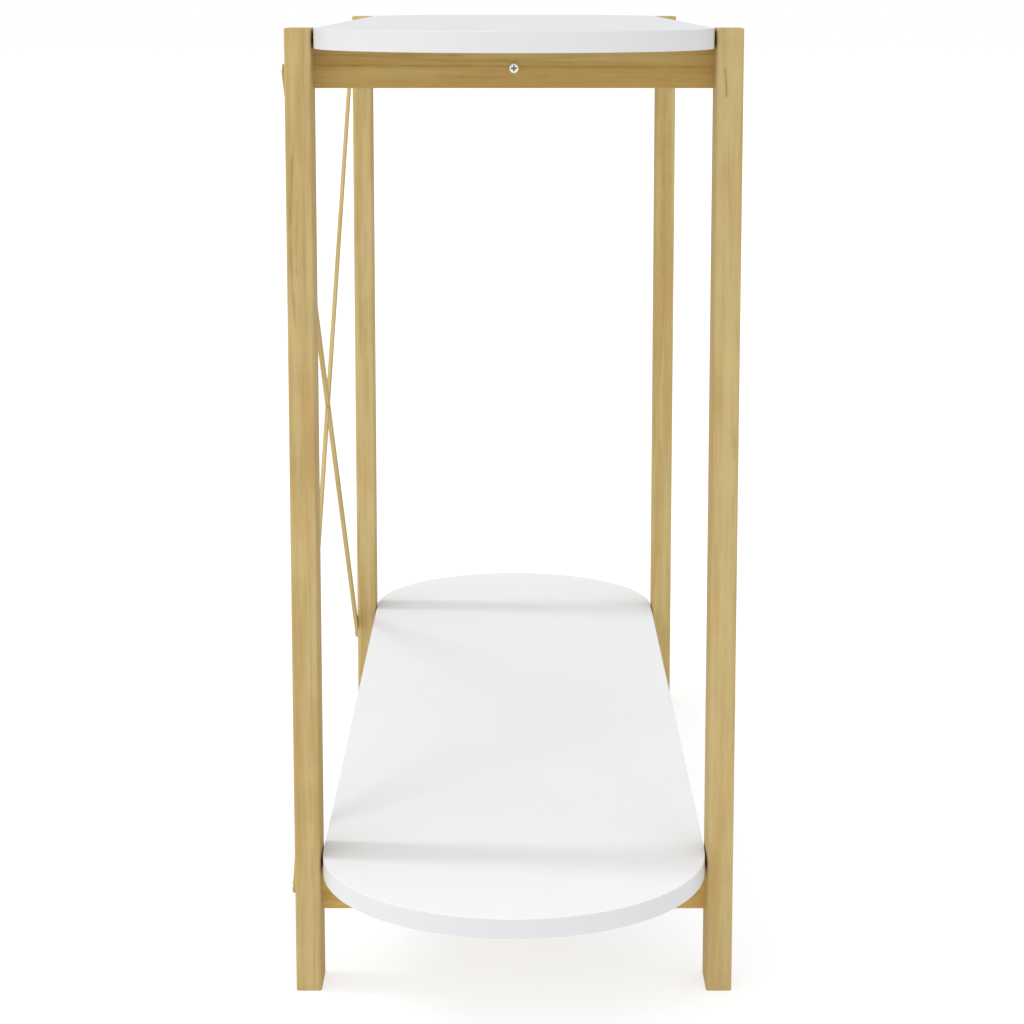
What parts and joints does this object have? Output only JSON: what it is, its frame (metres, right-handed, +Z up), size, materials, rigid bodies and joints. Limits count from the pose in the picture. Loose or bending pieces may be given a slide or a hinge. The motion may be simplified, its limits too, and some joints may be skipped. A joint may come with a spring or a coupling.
{
  "type": "console table",
  "caption": "Narrow console table: white tabletop and lower shelf with half-round ends, held between pine legs, with a crossed slat brace at the back.",
  "frame": {"origin": "on the floor, in the middle of the four legs", "axes": "+X along the table, to the right as seen from the front; +Y towards the back, where the crossed slats are; +Z up"},
  "size_m": [1.0998, 0.3468, 0.75],
  "materials": {
    "pine": "clear satin lacquer on pine",
    "white_board": "satin white laminate on engineered wood",
    "edging": "satin white plastic edge band",
    "dowel_wood": "bare beech",
    "screw_steel": "zinc plated"
  },
  "bodies": {
    "root": {"leg_front_left": "pine", "leg_front_right": "pine", "leg_back_left": "pine", "leg_back_right": "pine", "top_rail_left": "pine", "top_rail_right": "pine", "top_stretcher": "pine", "lower_rail_left": "pine", "lower_rail_right": "pine", "lower_stretcher": "pine", "brace_slat_rising": "pine", "brace_slat_falling": "pine", "tabletop": "white_board", "shelf": "white_board", "tabletop_edging": "edging", "shelf_edging": "edging", "rail_dowels": "dowel_wood", "stretcher_screws": "screw_steel", "board_screws": "screw_steel", "brace_screws": "screw_steel"}
  },
  "joints": []
}
